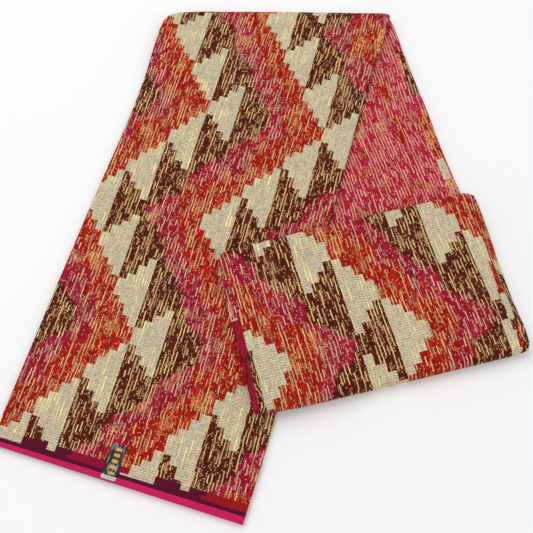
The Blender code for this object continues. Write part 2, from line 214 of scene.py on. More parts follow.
def soften_top(point):
    """Bow the top fold outwards and round its two corners, as seen from above."""
    depth = max(TOP_LINE - point.y, 0.0)
    if depth > TOP_BOW_REACH:
        return point
    left = edge_x(LEFT_LEG_LEFT, point.y)
    right = edge_x(RIGHT_LEG_RIGHT, point.y)
    share = min(max((point.x - left) / (right - left), 0.0), 1.0)
    bow = TOP_BOW * math.sin(math.pi * share ** TOP_BOW_LEAN)
    shift = Vector((0.0, bow * smooth(1.0 - depth / TOP_BOW_REACH), 0.0))
    for side, distance, size in ((1.0, point.x - left, LEFT_ROUNDING),
                                 (-1.0, right - point.x, RIGHT_ROUNDING)):
        near_side = max(1.0 - max(distance, 0.0) / size, 0.0)
        near_top = max(1.0 - depth / size, 0.0)
        pull = ROUNDING_DEPTH * size * (near_side * near_top) ** 2
        shift += Vector((side * pull, -pull, 0.0))
    return point + shift


def climb(distance, margin):
    """Share of the full climb, for a signed distance past the edge that is climbed."""
    return smooth((distance + margin + CLIMB_LENGTH) / CLIMB_LENGTH)


def past_right_leg(x, y):
    """Distance of a point past the right leg's left edge."""
    return x - edge_x(RIGHT_LEG_LEFT, y)


def legs_top(x, y):
    """Height of the two crossing legs, smoothed as a soft layer bridges it."""
    inside_left_leg = edge_x(LEFT_LEG_RIGHT, y) - x
    lifted = climb(past_right_leg(x, y), BUNDLE_MARGIN) * climb(inside_left_leg, BUNDLE_MARGIN)
    return STACK_HEIGHT + PASS_PITCH * lifted


def left_leg_base(x, y, share, along):
    """Underside of the left leg: on the floor, or lifted over the right leg."""
    fold_y = RIGHT_LEG_LEFT[0][1]
    near_fold = smooth(1.0 - (fold_y - y) / FOLD_SETTLE_LENGTH)
    lifted = 1.0 - (1.0 - climb(past_right_leg(x, y), LEG_MARGIN)) * (1.0 - near_fold)
    bulge = (2.0 * TOP_FOLD_RADIUS - PASS_GAP) * near_fold
    return PASS_PITCH * lifted + bulge


def right_leg_top(x, y, share, along):
    """Upper face of the right leg, which lies flat on the floor."""
    return STACK_HEIGHT


def tuck_top(x, y, share, along):
    """Upper face of the tucked end inside the bundle."""
    return legs_top(x, y) + BUNDLE_GAP + STACK_HEIGHT


def bundle_base(x, y, share, along):
    """Underside of the bundle's upper panel, which lies over the legs and the tucked end."""
    free = smooth(along / SIDE_FADE) * smooth((BUNDLE_DEPTH - along) / SIDE_FADE)
    left_slope = mix(1.0, mix(LEFT_REST, 1.0, smooth(share / SIDE_SLOPE)), free)
    right_slope = mix(1.0, smooth((1.0 - share) / SIDE_SLOPE), free)
    front_slope = mix(FRONT_FILL, 1.0, smooth(along / FRONT_SLOPE_LENGTH))
    bulge = 2.0 * BACK_FOLD_RADIUS - PASS_GAP
    bulge *= smooth(1.0 - (BUNDLE_DEPTH - along) / FOLD_SETTLE_LENGTH)
    fill = (PASS_PITCH + bulge) * front_slope * left_slope * right_slope
    droop = SHOULDER_DROOP * (1.0 - right_slope)
    return legs_top(x, y) + BUNDLE_GAP + fill - droop


def ripple(x, y):
    """A soft unevenness of the cloth, between -1 and 1."""
    long, middle, short = RIPPLE_TURNS
    first = math.sin(long * x + RIPPLE_SWAY * math.sin(long * y))
    second = math.sin(middle * (RIPPLE_LEANS[0] * x + y) + RIPPLE_PHASES[0])
    third = math.sin(short * (x - RIPPLE_LEANS[1] * y) + RIPPLE_PHASES[1])
    weights = RIPPLE_WEIGHTS
    return weights[0] * first + weights[1] * second + weights[2] * third


def rippled(flat, height):
    """A height with the cloth's unevenness at a plan point, which fades out near the floor."""
    lift = RIPPLE_HEIGHT * ripple(flat.x, flat.y) * smooth(height / PASS_PITCH - RIPPLE_START)
    return height + lift


class Station:
    """One line across the strip, with the way its stack of layers stands there."""

    def __init__(self, left, right, along):
        self.left = left
        self.right = right
        self.along = along
        self.upward = 1.0
        self.side_inset = 0.0
        self.top_inset = 0.0
        self.fold_inset = 0.0

    def lie(self, inner_face, upward):
        """Lie flat: the stack's inner face is at a height, and it rises or hangs from there."""
        self.place = self.place_flat
        self.inner_face = inner_face
        self.upward = upward
        return self

    def turn_over(self, circle, angle, outward, radius):
        """Stand somewhere around a fold."""
        self.place = self.place_round
        self.circle = circle
        self.angle = angle
        self.outward = outward
        self.radius = radius
        return self

    def place_flat(self, share, rise):
        """World point for a share of the width and a height in the stack."""
        flat = mix(self.left, self.right, share)
        face = self.inner_face(flat.x, flat.y, share, self.along)
        return Vector((flat.x, flat.y, rippled(flat, face + self.upward * rise)))

    def place_round(self, share, rise):
        """The same on a fold, which is round in plan and as tall as its place needs."""
        flat = mix(self.left, self.right, share)
        low, high = self.circle(flat.x, flat.y, share)
        spot = flat + self.outward * ((self.radius + rise) * math.cos(self.angle))
        height = (low + high) / 2.0 + ((high - low) / 2.0 + rise) * math.sin(self.angle)
        return Vector((spot.x, spot.y, rippled(flat, height)))


def leg_stations(left_edge, right_edge, steps, start, inner_face, upward):
    """Stations along a leg of the strip, between its two side edges."""
    stations = []
    for step in range(steps + 1):
        share = step / steps
        left = point_along(left_edge, share)
        right = point_along(right_edge, share)
        stations.append(Station(left, right, start + share).lie(inner_face, upward))
    return stations


def bundle_station(share):
    """A line across the bundle, by its share of the way from front to back."""
    left = point_along(BUNDLE_LEFT, share)
    right = point_along(BUNDLE_RIGHT, share)
    return Station(left, right, share * BUNDLE_DEPTH)


def bundle_stations():
    """The bundle's upper panel, from front to back, with the layer below it standing out."""
    stations = []
    for step in range(BUNDLE_STEPS + 1):
        share = step / BUNDLE_STEPS
        station = bundle_station(share).lie(bundle_base, 1.0)
        station.top_inset = WEDGE_WIDTH * (1.0 - smooth(share / WEDGE_SHARE))
        rise = mix(RIGHT_STEP_START, 1.0, smooth(share / RIGHT_STEP_RISE))
        station.fold_inset = rise * mix(RIGHT_STEP_FRONT, RIGHT_STEP_BACK, share)
        stations.append(station)
    return stations


def tuck_stations():
    """The tucked end inside the bundle, from its back towards its front."""
    stations = []
    for step in range(TUCK_STEPS + 1):
        station = bundle_station(1.0 - TUCK_REACH * step / TUCK_STEPS).lie(tuck_top, -1.0)
        station.side_inset = TUCK_INSET
        stations.append(station)
    return stations


def fold_stations(before, after, outward, circle, radius, downward, flare, corner):
    """Stations around a fold, between the last line of one pass and the first of the next."""
    flare_middle, flare_length = flare
    stations = []
    for step in range(1, TURN_STEPS):
        share = step / TURN_STEPS
        angle = math.pi * (share - 0.5)
        if downward:
            angle = -angle
        shift = smooth((share - flare_middle) / flare_length + 0.5)
        left = mix(before.left, after.left, shift)
        right = mix(before.right, after.right, shift)
        inward = (right - left).normalized() * (corner * math.cos(angle))
        station = Station(left + inward, right - inward, before.along)
        station.side_inset = mix(before.side_inset, after.side_inset, shift)
        station.top_inset = mix(before.top_inset, after.top_inset, shift)
        station.fold_inset = mix(before.fold_inset, after.fold_inset, shift)
        stations.append(station.turn_over(circle, angle, outward, radius))
    return stations


def square_to(station, sign):
    """Plan direction square to a line, pointing out of a fold."""
    along = (station.right - station.left).normalized()
    return Vector((-along.y, along.x)) * sign


def top_circle(x, y, share):
    """Lowest and highest point of the top fold's inside."""
    return STACK_HEIGHT, STACK_HEIGHT + 2.0 * TOP_FOLD_RADIUS


def front_circle(x, y, share):
    """The same for the fold at the front of the bundle."""
    return STACK_HEIGHT, bundle_base(x, y, share, 0.0)


def back_circle(x, y, share):
    """The same for the fold at the back of the bundle."""
    return tuck_top(x, y, share, 0.0), bundle_base(x, y, share, BUNDLE_DEPTH)


def layer_columns(low, high, width):
    """Places of the columns across one layer, between its own two ends, crowded near them."""
    places = []
    for index in range(COLUMN_COUNT):
        share = index / (COLUMN_COUNT - 1)
        share -= EDGE_CROWDING * math.sin(2.0 * math.pi * share) / (2.0 * math.pi)
        places.append(mix(low, width - high, share))
    return places


def layer_section(station):
    """Centre line of the layers at a station: place across, rise, and the normal there."""
    half_pitch = LAYER_PITCH / 2.0
    width = (station.right - station.left).length
    reach = CLOTH_THICKNESS / 2.0 + half_pitch + station.side_inset
    ends = [station.side_inset + BOTTOM_EDGE_INSET]
    for inset, phase in zip(FOLD_INSETS, FOLD_PHASES):
        wander = FOLD_WANDER * (1.0 + math.sin(WANDER_TURNS * station.along + phase))
        ends.append(reach + inset + wander)
    ends[-1] += station.fold_inset
    ends.append(station.side_inset + TOP_EDGE_INSET + station.top_inset)
    points = []
    for layer in range(LAYER_COUNT):
        rise = CLOTH_THICKNESS / 2.0 + layer * LAYER_PITCH
        goes_right = layer % 2 == 0
        low, high = (ends[layer], ends[layer + 1]) if goes_right else (ends[layer + 1], ends[layer])
        side = 1.0 if goes_right else -1.0
        places = layer_columns(low, high, width)
        if not goes_right:
            places.reverse()
        points += [(across, rise, 0.0, side) for across in places]
        if layer < LAYER_COUNT - 1:
            centre = places[-1]
            for step in range(1, FOLD_STEPS):
                angle = math.pi * (step / FOLD_STEPS - 0.5)
                across = centre + side * half_pitch * math.cos(angle)
                lift = rise + half_pitch + half_pitch * math.sin(angle)
                points.append((across, lift, -math.cos(angle), -side * math.sin(angle)))
    return points


def section_points(station):
    """Points of the cloth's centre line at a station, of its two faces, and their side distances."""
    width = (station.right - station.left).length
    half = CLOTH_THICKNESS / 2.0
    middle = []
    faces = []
    edges = []
    for across, rise, across_normal, rise_normal in layer_section(station):
        pair = []
        for side in (half, -half):
            share = (across + side * across_normal) / width
            pair.append(soften_top(station.place(share, rise + side * rise_normal)))
        faces.append(pair)
        edges.append((across, width - across))
        middle.append((pair[0] + pair[1]) / 2.0)
    return middle, faces, edges


def turned(angle):
    """Plan directions across and along a strip that is tilted by an angle."""
    across = Vector((math.cos(angle), math.sin(angle)))
    return across, Vector((-across.y, across.x))


def flat_place(point, corner, tilt):
    """Distances of a point across and along a strip, from the strip's corner."""
    across, along = turned(tilt)
    offset = Vector((point.x, point.y)) - corner
    return offset.dot(across), offset.dot(along)


def mirrored(point):
    """A point of the right leg, laid back over the top fold."""
    return Vector((point.x, 2.0 * FOLD_Y - point.y, point.z))


def step_length(first, second, direction):
    """Length of a step over the cloth, as its part along a plan direction and its rise."""
    step = second - first
    flat = step.x * direction.x + step.y * direction.y
    return math.hypot(flat, step.z)


def walked(lengths, before, after, direction, scale):
    """Lengths along the cloth at a line's points, from those at the line before it."""
    return [length + scale * step_length(first, second, direction)
            for length, first, second in zip(lengths, before, after)]


def across_places(middle, start, direction):
    """Places across the unfolded cloth, walked over the layers from the top layer's free edge."""
    places = [start]
    for first, second in zip(reversed(middle), list(reversed(middle))[1:]):
        places.append(places[-1] + step_length(first, second, direction))
    places.reverse()
    return places


def unfold_legs(middles, left_count, turn_count):
    """Places on the unfolded cloth for the legs' stations, from the selvedge onwards."""
    across, along = turned(LEG_TILT)
    coordinates = []
    lengths = [flat_place(point, LEG_CORNER, LEG_TILT)[1] for point in middles[0]]
    lowest = min(lengths)
    lengths = [max(length, lowest) for length in lengths]
    last = flat_place(middles[left_count - 1][-1], LEG_CORNER, LEG_TILT)[0]
    first = flat_place(mirrored(middles[left_count + turn_count][-1]), LEG_CORNER, LEG_TILT)[0]
    for index, middle in enumerate(middles):
        beyond = index >= left_count + turn_count / 2.0
        seen = [mirrored(point) for point in middle] if beyond else middle
        if index > 0:
            before = middles[index - 1]
            before = [mirrored(point) for point in before] if beyond else before
            lengths = walked(lengths, before, seen, along, 1.0)
        if left_count <= index < left_count + turn_count:
            start = mix(last, first, (index - left_count + 1) / (turn_count + 1))
        else:
            start = flat_place(seen[-1], LEG_CORNER, LEG_TILT)[0]
        places = across_places(seen, start, across)
        coordinates.append(list(zip(places, lengths)))
    return coordinates


def unfold_bundle(middles, anchor):
    """The same for the bundle's stations, turned half round and measured from one station."""
    across, along = turned(BUNDLE_TILT)
    across_scale = 1.0 / BUNDLE_STRETCH[0]
    scale = 1.0 / BUNDLE_STRETCH[1]
    at_anchor = []
    for point in middles[anchor]:
        at_anchor.append(BUNDLE_START[1] - scale * flat_place(point, BUNDLE_CORNER, BUNDLE_TILT)[1])
    lengths = {anchor: at_anchor}
    steps = [(index, index - 1, -scale) for index in range(anchor + 1, len(middles))]
    steps += [(index, index + 1, scale) for index in range(anchor - 1, -1, -1)]
    for index, known, pace in steps:
        lengths[index] = walked(lengths[known], middles[known], middles[index], along, pace)
    coordinates = []
    for index, middle in enumerate(middles):
        start = flat_place(middle[-1], BUNDLE_CORNER, BUNDLE_TILT)[0]
        places = across_places(middle, start, across)
        places = [BUNDLE_START[0] - across_scale * place for place in places]
        coordinates.append(list(zip(places, lengths[index])))
    return coordinates


def cloth_piece():
    """The folded sheet, as one closed skin, with its places on the unfolded cloth."""
    left_leg = leg_stations(LEFT_LEG_LEFT, LEFT_LEG_RIGHT, LEFT_LEG_STEPS, 0.0, left_leg_base, 1.0)
    right_leg = leg_stations(RIGHT_LEG_LEFT, RIGHT_LEG_RIGHT, RIGHT_LEG_STEPS, WANDER_RIGHT_LEG,
                             right_leg_top, -1.0)
    bundle = bundle_stations()
    tuck = tuck_stations()
    top_fold = fold_stations(left_leg[-1], right_leg[0], square_to(left_leg[-1], 1.0),
                             top_circle, TOP_FOLD_RADIUS, True, WHOLE_TURN, TOP_FOLD_CORNER)
    front_fold = fold_stations(right_leg[-1], bundle[0], square_to(bundle[0], -1.0),
                               front_circle, FRONT_FOLD_RADIUS, False, FRONT_FLARE,
                               FRONT_FOLD_CORNER)
    back_fold = fold_stations(bundle[-1], tuck[0], square_to(bundle[-1], 1.0),
                              back_circle, BACK_FOLD_RADIUS, True, WHOLE_TURN, BACK_FOLD_CORNER)
    legs = left_leg + top_fold + right_leg
    rest = front_fold + bundle + back_fold + tuck
    sections = [section_points(station) for station in legs + rest]
    middles = [section[0] for section in sections]
    coordinates = unfold_legs(middles[:len(legs)], len(left_leg), len(top_fold))
    coordinates += unfold_bundle(middles[len(legs):], len(front_fold))

    vertices = []
    places = []
    edge_places = []
    rows = []
    for (_, faces, edges), spots in zip(sections, coordinates):
        row = []
        for pair, spot, edge in zip(faces, spots, edges):
            row.append((len(vertices), len(vertices) + 1))
            vertices += pair
            places += [spot, spot]
            edge_places += [edge, edge]
        rows.append(row)

    polygons = []
    for row, following in zip(rows, rows[1:]):
        for index in range(len(row) - 1):
            near, far = row[index], row[index + 1]
            next_near, next_far = following[index], following[index + 1]
            polygons.append((near[0], far[0], next_far[0], next_near[0]))
            polygons.append((next_near[1], next_far[1], far[1], near[1]))
        polygons.append((row[0][0], following[0][0], following[0][1], row[0][1]))
        polygons.append((row[-1][0], row[-1][1], following[-1][1], following[-1][0]))
    for first, second in zip(rows[0], rows[0][1:]):
        polygons.append((first[0], first[1], second[1], second[0]))
    for first, second in zip(rows[-1], rows[-1][1:]):
        polygons.append((first[0], second[0], second[1], first[1]))

    mesh = bpy.data.meshes.new("brocade_cloth")
    mesh.from_pydata(vertices, [], polygons)
    mesh.update()
    for name, values in (("cloth", places), ("edges", edge_places)):
        layer = mesh.uv_layers.new(name=name)
        for loop in mesh.loops:
            layer.data[loop.index].uv = values[loop.vertex_index]
    xs = [vertex.co.x for vertex in mesh.vertices]
    ys = [vertex.co.y for vertex in mesh.vertices]
    middle = Vector(((min(xs) + max(xs)) / 2.0, (min(ys) + max(ys)) / 2.0, 0.0))
    mesh.transform(Matrix.Translation(-middle))
    mesh.shade_smooth()
    mesh.set_sharp_from_angle(angle=SHARP_ANGLE)
    return add_piece("brocade_cloth", mesh), middle


def add_piece(name, mesh):
    """Put a mesh in the scene as a piece of the object."""
    piece = bpy.data.objects.new(name, mesh)
    bpy.context.scene.collection.objects.link(piece)
    return piece


def label_piece(middle):
    """The foil label: a thin plate with rounded corners, in its place on the selvedge."""
    mesh = bpy.data.meshes.new("label_foil")
    shape = bmesh.new()
    size = (LABEL_WIDTH, LABEL_LENGTH, LABEL_THICKNESS)
    bmesh.ops.create_cube(shape, size=1.0, matrix=Matrix.Diagonal((*size, 1.0)))
    upright = []
    for edge in shape.edges:
        rise = abs(edge.verts[0].co.z - edge.verts[1].co.z)
        if rise > LABEL_THICKNESS / 2.0:
            upright.append(edge)
    bmesh.ops.bevel(shape, geom=upright, offset=LABEL_CORNER, segments=LABEL_CORNER_STEPS,
                    affect="EDGES")
    bmesh.ops.subdivide_edges(shape, edges=shape.edges[:], cuts=1)
    shape.to_mesh(mesh)
    shape.free()
    piece = add_piece("label_foil", mesh)
    height = STACK_HEIGHT + LABEL_CLEARANCE + LABEL_THICKNESS / 2.0
    piece.location = Vector((LABEL_CENTRE[0], LABEL_CENTRE[1], height)) - middle
    piece.rotation_euler = (0.0, 0.0, LABEL_ANGLE)
    return piece


# Factors that turn whole numbers and a seed into one number, from which a random number is made
FIRST_CODE = 0.7315
SECOND_CODE = 37.137
SEED_CODE = 11.719


class Field:
    """A number that varies over a surface: a node's output, with plain arithmetic."""

    def __init__(self, tree, socket):
        self.tree = tree
        self.socket = socket

    def join(self, operation, *others):
        """A math node on this field and others, which may be fields or numbers."""
        node = self.tree.nodes.new("ShaderNodeMath")
        node.operation = operation
        for entry, value in zip(node.inputs, (self, *others)):
            if isinstance(value, Field):
                self.tree.links.new(value.socket, entry)
            else:
                entry.default_value = value
        return Field(self.tree, node.outputs[0])

    __add__ = partialmethod(join, "ADD")
    __sub__ = partialmethod(join, "SUBTRACT")
    __mul__ = partialmethod(join, "MULTIPLY")
    __truediv__ = partialmethod(join, "DIVIDE")
    __mod__ = partialmethod(join, "FLOORED_MODULO")
    __lt__ = partialmethod(join, "LESS_THAN")
    __gt__ = partialmethod(join, "GREATER_THAN")
    floor = partialmethod(join, "FLOOR")
    size = partialmethod(join, "ABSOLUTE")
    either = partialmethod(join, "MAXIMUM")
    sine = partialmethod(join, "SINE")

    def rest(self):
        """What is left of 1."""
        return self * -1.0 + 1.0

    def between(self, ends):
        """A field that runs from 0 to 1, brought to run from one end to another."""
        start, end = ends
        return self * (end - start) + start


def chance(first, second, seed):
    """A random number from 0 to 1 for each pair of whole numbers."""
    tree = first.tree
    code = first.join("MULTIPLY_ADD", FIRST_CODE, seed * SEED_CODE)
    if isinstance(second, Field):
        code = second.join("MULTIPLY_ADD", SECOND_CODE, code)
    node = tree.nodes.new("ShaderNodeTexWhiteNoise")
    node.noise_dimensions = "1D"
    tree.links.new(code.socket, node.inputs["W"])
    return Field(tree, node.outputs["Value"])


def cloudy(tree, source, kind):
    """A soft random field from 0 to 1, with patches of a given size in millimetres."""
    width, length, detail, seed = kind
    scaled = tree.nodes.new("ShaderNodeMapping")
    scaled.inputs["Scale"].default_value = (1000.0 / width, 1000.0 / length, 1.0)
    scaled.inputs["Location"].default_value = (seed, seed, seed)
    tree.links.new(source, scaled.inputs["Vector"])
    node = tree.nodes.new("ShaderNodeTexNoise")
    node.noise_dimensions = "3D"
    node.inputs["Scale"].default_value = 1.0
    node.inputs["Detail"].default_value = detail
    tree.links.new(scaled.outputs["Vector"], node.inputs["Vector"])
    return Field(tree, node.outputs["Fac"])


def ramp(value, low, high):
    """Rise from 0 to 1 as a field goes from low to high."""
    node = value.tree.nodes.new("ShaderNodeMapRange")
    node.interpolation_type = "SMOOTHSTEP"
    node.inputs["From Min"].default_value = low
    node.inputs["From Max"].default_value = high
    value.tree.links.new(value.socket, node.inputs["Value"])
    return Field(value.tree, node.outputs["Result"])


def blend(share, first, second):
    """Blend two colours, each a socket or a plain colour, by a field."""
    node = share.tree.nodes.new("ShaderNodeMix")
    node.data_type = "RGBA"
    share.tree.links.new(share.socket, node.inputs["Factor"])
    for name, colour in (("A", first), ("B", second)):
        entry = [one for one in node.inputs if one.name == name and one.type == "RGBA"][0]
        if isinstance(colour, bpy.types.NodeSocket):
            share.tree.links.new(colour, entry)
        else:
            entry.default_value = colour
    return [one for one in node.outputs if one.type == "RGBA"][0]


def uv_source(tree, name):
    """The socket of a UV map, which holds metres."""
    source = tree.nodes.new("ShaderNodeUVMap")
    source.uv_map = name
    return source.outputs["UV"]


def in_millimetres(tree, source):
    """The first two coordinates of a socket that holds metres, in millimetres."""
    parts = tree.nodes.new("ShaderNodeSeparateXYZ")
    tree.links.new(source, parts.inputs["Vector"])
    return Field(tree, parts.outputs["X"]) * 1000.0, Field(tree, parts.outputs["Y"]) * 1000.0


def relief(tree, shader, height, strength, depth):
    """Raise a surface by a field, as seen in its shading."""
    bump = tree.nodes.new("ShaderNodeBump")
    bump.inputs["Strength"].default_value = strength
    bump.inputs["Distance"].default_value = depth
    tree.links.new(height.socket, bump.inputs["Height"])
    tree.links.new(bump.outputs["Normal"], shader.inputs["Normal"])


def new_material(name):
    """A new material, with its node tree and its shader."""
    material = bpy.data.materials.new(name)
    material.use_nodes = True
    tree = material.node_tree
    return material, tree, tree.nodes["Principled BSDF"]


def shown(red, green, blue):
    """A colour as a screen shows it, from 0 to 255, turned into light."""
    light = []
    for value in (red, green, blue):
        value /= 255.0
        light.append(value / 12.92 if value <= 0.04045 else ((value + 0.055) / 1.055) ** 2.4)
    return (*light, 1.0)


# Colours of the threads
CREAM = shown(227, 211, 179)
CREAM_SHADE = shown(122, 109, 88)
PALE_GOLD = shown(255, 244, 158)
BROWN = shown(76, 20, 10)
BROWN_LIGHT = shown(112, 38, 22)
BROWN_GOLD = shown(255, 214, 146)
RED = shown(146, 17, 5)
ORANGE = shown(198, 34, 14)
RED_GOLD = shown(255, 199, 136)
MAGENTA = shown(136, 18, 34)
PINK = shown(192, 28, 66)
MAGENTA_GOLD = shown(255, 194, 166)
YELLOW_GOLD = shown(236, 206, 104)
# DEEP: the dark of the flecks and of the painted shadow beside the threads
DEEP = shown(46, 8, 8)
SELVEDGE_PINK = shown(202, 30, 94)
SELVEDGE_DARK = shown(88, 10, 40)
MARGIN_PINK = shown(146, 14, 52)
MARGIN_RED = shown(158, 20, 24)

# How much of the lighter colour each tint takes, how strongly the flecks and the painted shadow
# beside the threads darken the ground, and how the cream darkens with grain, painted shade and
# speckles
PINK_TINT = (0.8, 0.5)
PLAIN_PINK = 0.5
ORANGE_TINT = 0.9
BROWN_TINT = 0.6
FLECK_DARKNESS = 0.34
SHADOW_DARKNESS = 0.42
FINE_SHADOW = 0.6
PLAIN_DARKNESS = (1.0, 0.45)
CURL_YELLOW = 0.8
CREAM_GRAIN = 0.22
CREAM_EVEN_DARKENING = 0.12
CREAM_SPECKLE = 0.46

# The pattern: its sizes in millimetres on the unfolded cloth
BAND = 30.6
REPEAT = 121.2
ROW = 42.3
ROWS_PER_TURN = 6.0
FIRST_SIDE = 26.2
FIRST_ROW = 4.8
SKEW = 0.026
EDGE_UNEVEN = 3.0
FUZZ_COLUMN = 3.8
FUZZ_RUN = 15.0
FUZZ_LENGTH = 34.0
DRIFT_LENGTH = 70.0
RED_START = 1.92
PLAIN_FIELD = (560.0, 1330.0)
FIELD_RED = 0.64

# The stepped flags: width, half height, width and drop of a step, unevenness and seed
CREAM_FLAG = (30.2, 33.5, 7.6, 8.6, 3.0, 11.0)
BROWN_FLAG = (34.0, 41.0, FUZZ_COLUMN, 3.6, 9.0, 23.0)

# Soft random fields: the width, length and detail of their patches, and their seed
DRIFT_CLOUD = (34.0, 34.0, 2.0, 3.0)
FIELD_CLOUD = (22.0, 30.0, 2.0, 5.0)
RICH_CLOUD = (18.0, 26.0, 2.0, 7.0)
GLOW_CLOUD = (14.0, 22.0, 2.0, 9.0)
WARP_CLOUD = (9.0, 9.0, 2.0, 13.0)
CURL_CLOUD = (2.3, 3.45, 1.0, 71.0)

# Broken metallic threads: their place in the lane, their width, the shortest piece and their seed
LANE = 3.05
GOLD_THREAD = (0.0, 0.90, 6.0, 41.0)
FINE_THREAD = (0.5, 0.50, 3.0, 81.0)
PALE_THREAD = (0.0, 1.30, 9.0, 91.0)
PIECE_SPREAD = 4.0
START_SPREAD = 50.0
THREAD_WANDER = 0.24
THREAD_BLUR = 0.2
# How far past a thread's edge its painted shadow on the ground starts and ends
SHADOW_RIM = (0.1, 0.8)

# The share of places that hold a thread, a dot or a fleck, and what rich or plain cloth adds
GOLD_SHARE = 0.50
RICH_THREADS = 0.12
PLAIN_THREADS = 0.14
FINE_SHARE = 0.24
PALE_SHARE = 0.60
DOT_SHARE = 0.24
RICH_DOTS = 0.20
FLECK_SHARE = 0.34

# How bright the metal is, from the dullest piece to the brightest where it varies
GOLD_BRIGHT = (0.50, 1.00)
FINE_BRIGHT = (0.18, 0.63)
PALE_BRIGHT = (0.20, 1.00)
GLOW_BRIGHT = (0.25, 1.00)
DOT_BRIGHT = 0.55
CURL_BRIGHT = 0.75
BROWN_CURLS = (1.0, 0.2)

# Flecks and tints, in columns of cells: their width and length, how far the columns' starts
# spread, and seeds for the start and for the cell
FLECK_CELLS = (1.02, 3.4, 9.0, 61.0, 62.0)
TINT_CELLS = (1.525, 9.0, 40.0, 57.0, 59.0)

# Sizes of the dots and speckles, and from where to where the soft fields count
DOT_COLUMN = 1.525
DOT_LENGTH = 2.2
DOT_CORE = 0.03
DOT_RIM = 0.16
SPECKLE_COLUMN = 1.1
SPECKLE_LENGTH = 1.5
RICH_RANGE = (0.56, 0.72)
GLOW_RANGE = (0.42, 0.66)
CURL_RANGE = (0.02, 0.07)

# The fine grain and ribs of the weave, across and along: radians to a millimetre, and weights
GRAIN_PACE = (1.3, 2.9)
GRAIN_WARP = 7.0
RIB_PACE = (6.2, 9.5)
RIB_WEIGHTS = (0.25, 0.5)
GOLD_RELIEF = 0.9
FINE_RELIEF = 0.5
RIB_RELIEF = 0.3
GRAIN_RELIEF = 0.1
CLOTH_BUMP = 0.6
CLOTH_BUMP_DEPTH = 0.00022

# The cloth's shine, from bare cloth to metal
METAL_SHINE = 0.30
CLOTH_ROUGHNESS = (0.80, 0.50)
CLOTH_SPECULAR = 0.12

# The selvedge: a plain band, a dark line, and a margin without metallic threads
SELVEDGE_BAND = 7.6
SELVEDGE_LINE = 11.0
SELVEDGE_MARGIN = 18.0
SELVEDGE_DRIFT = 0.0074
SELVEDGE_WIDTH = 230.0
RED_MARGIN = (165.0, 215.0)

# A seed for each other use of chance
BORDER_SEED = 31.0
DOT_SEED = 51.0
SPECKLE_SEED = 67.0

# Patches beside the folded edges, by the side they lie on, how far in they start and end, where
# they start and end along the cloth, and their kinds. Magenta is what the others leave, gold is
# rich in curls, and bare has no metal.
EDGE_PATCHES = [
    ("right", 0.0, 8.0, 505.0, 535.0, "red gold"),
    ("right", 0.0, 15.0, 536.0, 560.0, "magenta"),
    ("right", 0.0, 9.5, 600.0, 659.0, "brown"),
    ("right", 7.0, 12.0, 603.0, 622.0, "gold"),
    ("right", 0.0, 11.5, 684.0, 740.0, "red"),
    ("right", 9.0, 14.0, 708.0, 726.0, "gold"),
    ("right", 3.5, 11.0, 740.0, 764.0, "cream"),
    ("right", 0.0, 11.0, 764.0, 784.0, "gold"),
    ("right", 0.0, 12.0, 1690.0, 1736.5, "red"),
    ("right", 0.0, 9.0, 1736.5, 1747.5, "cream"),
    ("right", 9.0, 15.0, 1736.5, 1768.0, "red"),
    ("right", 0.0, 9.3, 1747.5, 1822.0, "brown"),
    ("right", 8.0, 15.5, 1769.0, 1792.0, "cream"),
    ("right", 7.5, 11.5, 1793.0, 1815.0, "red"),
    ("left", 1.6, 8.5, 1700.0, 1736.0, "magenta"),
    ("left", 0.0, 7.0, 1736.0, 1838.0, "bare magenta"),
    ("left", 7.0, 8.5, 1736.0, 1771.0, "bare magenta"),
    ("left", 7.0, 12.0, 1766.0, 1838.0, "brown"),
]


class Place:
    """A place on the unfolded cloth, in millimetres, with the soft random fields there."""

    def __init__(self, tree):
        source = uv_source(tree, "cloth")
        self.drift = cloudy(tree, source, DRIFT_CLOUD)
        self.scattered = cloudy(tree, source, FIELD_CLOUD)
        self.richness = cloudy(tree, source, RICH_CLOUD)
        self.glow = cloudy(tree, source, GLOW_CLOUD)
        self.warp = cloudy(tree, source, WARP_CLOUD)
        self.curling = cloudy(tree, source, CURL_CLOUD)
        across, self.along = in_millimetres(tree, source)
        self.across = across + self.along * SKEW
        self.from_left, self.from_right = in_millimetres(tree, uv_source(tree, "edges"))


def zigzag(row):
    """How many bands the flags of a row stand to the right: 0, 1, 2, 3, 2, 1 and again."""
    half_turn = ROWS_PER_TURN / 2.0
    return (row % ROWS_PER_TURN - half_turn).size() * -1.0 + half_turn


def inside_flag(distance, row, along, kind):
    """Whether a place lies in a stepped triangle that starts at a row's upright side."""
    width, half_height, step_width, drop, ragged, seed = kind
    step = (distance / step_width).floor()
    uneven = (chance(step, row, seed) - 0.5) * ragged
    reach = step * -drop + half_height + uneven
    off_row = (along - (row * ROW + FIRST_ROW)).size()
    return (distance < width) * (off_row < reach)


def flags(place):
    """The stepped flags: cream with its upright side on the right, brown with its on the left."""
    across = place.across
    along = place.along
    lower_row = ((along - FIRST_ROW) / ROW).floor()
    found = []
    for row in (lower_row, lower_row + 1.0):
        side = zigzag(row) * BAND + FIRST_SIDE
        cream = inside_flag((side - across) % REPEAT, row, along, CREAM_FLAG)
        brown = inside_flag((across - side) % REPEAT, row, along, BROWN_FLAG)
        found.append((cream, brown))
    return found[0][0].either(found[1][0]), found[0][1].either(found[1][1])


def red_bands(place, plain):
    """Red before the next cream, magenta beside the brown, with a ragged border between them."""
    column = (place.across / FUZZ_COLUMN).floor()
    run = (place.along / FUZZ_RUN).floor()
    fuzz = (chance(column, run, BORDER_SEED) - 0.5) * FUZZ_LENGTH
    shifted = place.along + fuzz + (place.drift - 0.5) * DRIFT_LENGTH
    wave = zigzag((shifted - FIRST_ROW) / ROW) * BAND + FIRST_SIDE
    banded = (place.across - wave) % REPEAT > RED_START * BAND
    return banded * plain.rest() + (place.scattered > FIELD_RED) * plain


